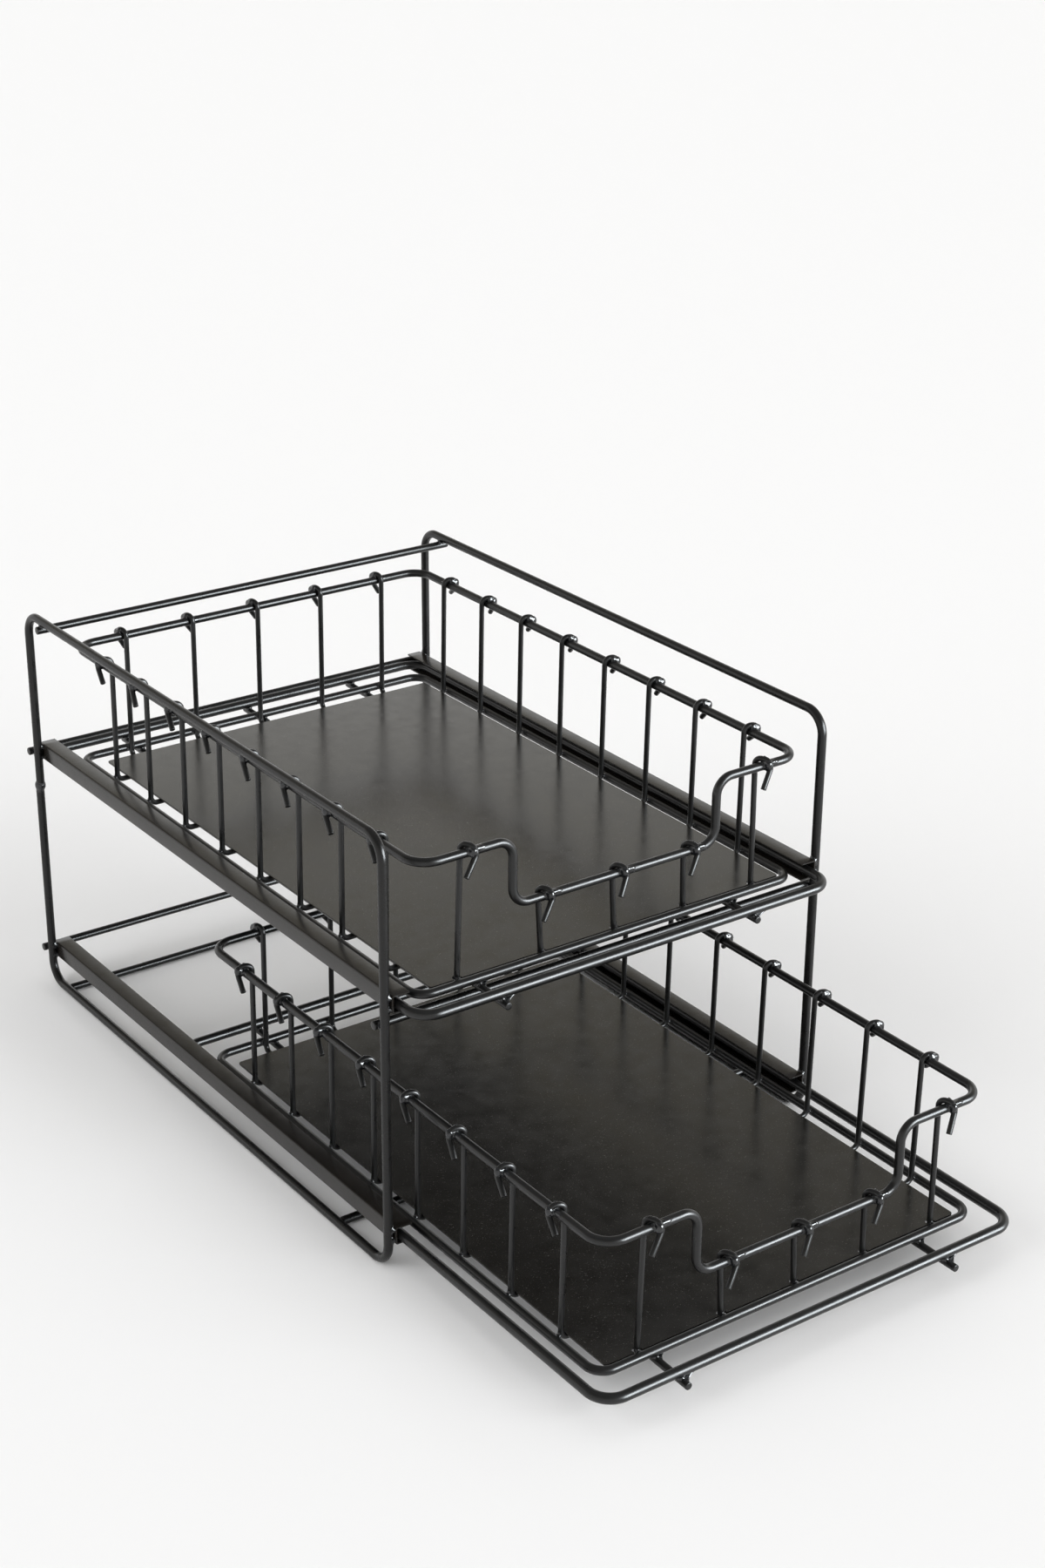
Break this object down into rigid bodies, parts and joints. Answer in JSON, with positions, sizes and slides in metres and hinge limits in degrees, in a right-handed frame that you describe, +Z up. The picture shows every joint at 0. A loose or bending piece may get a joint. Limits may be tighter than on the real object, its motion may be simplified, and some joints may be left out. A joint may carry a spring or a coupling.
{
  "type": "two-tier pull-out storage rack",
  "caption": "Free-standing wire rack with stacked sliding baskets on channel rails, each basket with a dipped front rim and a flat liner, for kitchen and canning goods",
  "frame": {"origin": "on the surface the rack stands on, at the middle of the fixed frame's outline (the wire centre lines), which stays put while the baskets slide", "axes": "+X to the right seen from the front, +Y from front to back, so the baskets pull out along -Y, +Z up"},
  "size_m": [0.298, 0.5959, 0.2552],
  "materials": {
    "frame_wire": "satin black powder coat",
    "rail_sheet": "satin black powder coat",
    "basket_wire": "satin black powder coat",
    "liner_sheet": "fine grained satin black"
  },
  "bodies": {
    "frame": {"left_side_frame": "frame_wire", "right_side_frame": "frame_wire", "upper_left_rail": "rail_sheet", "upper_right_rail": "rail_sheet", "lower_left_rail": "rail_sheet", "lower_right_rail": "rail_sheet", "rear_top_cross_wire": "frame_wire", "rear_upper_cross_wire": "frame_wire", "rear_lower_cross_wire": "frame_wire", "rear_bottom_cross_wire": "frame_wire", "front_bottom_cross_wire": "frame_wire", "front_upper_cross_wire": "frame_wire"},
    "upper_basket": {"upper_runner_ring": "basket_wire", "upper_base_ring": "basket_wire", "upper_top_rim": "basket_wire", "upper_left_uprights": "basket_wire", "upper_right_uprights": "basket_wire", "upper_front_uprights": "basket_wire", "upper_rear_uprights": "basket_wire", "upper_floor_cross_wires": "basket_wire", "upper_floor_long_wires": "basket_wire", "upper_left_tie_rod": "basket_wire", "upper_right_tie_rod": "basket_wire", "upper_centre_tie_rod": "basket_wire", "upper_liner": "liner_sheet"},
    "lower_basket": {"lower_runner_ring": "basket_wire", "lower_base_ring": "basket_wire", "lower_top_rim": "basket_wire", "lower_left_uprights": "basket_wire", "lower_right_uprights": "basket_wire", "lower_front_uprights": "basket_wire", "lower_rear_uprights": "basket_wire", "lower_floor_cross_wires": "basket_wire", "lower_floor_long_wires": "basket_wire", "lower_left_tie_rod": "basket_wire", "lower_right_tie_rod": "basket_wire", "lower_centre_tie_rod": "basket_wire", "lower_liner": "liner_sheet"}
  },
  "joints": [
    {"name": "upper_basket_slide", "type": "slide", "parent": "frame", "child": "upper_basket", "axis": [0, -1, 0], "range_m": [0, 0.26]},
    {"name": "lower_basket_slide", "type": "slide", "parent": "frame", "child": "lower_basket", "axis": [0, -1, 0], "range_m": [-0.1575, 0.1025]}
  ]
}
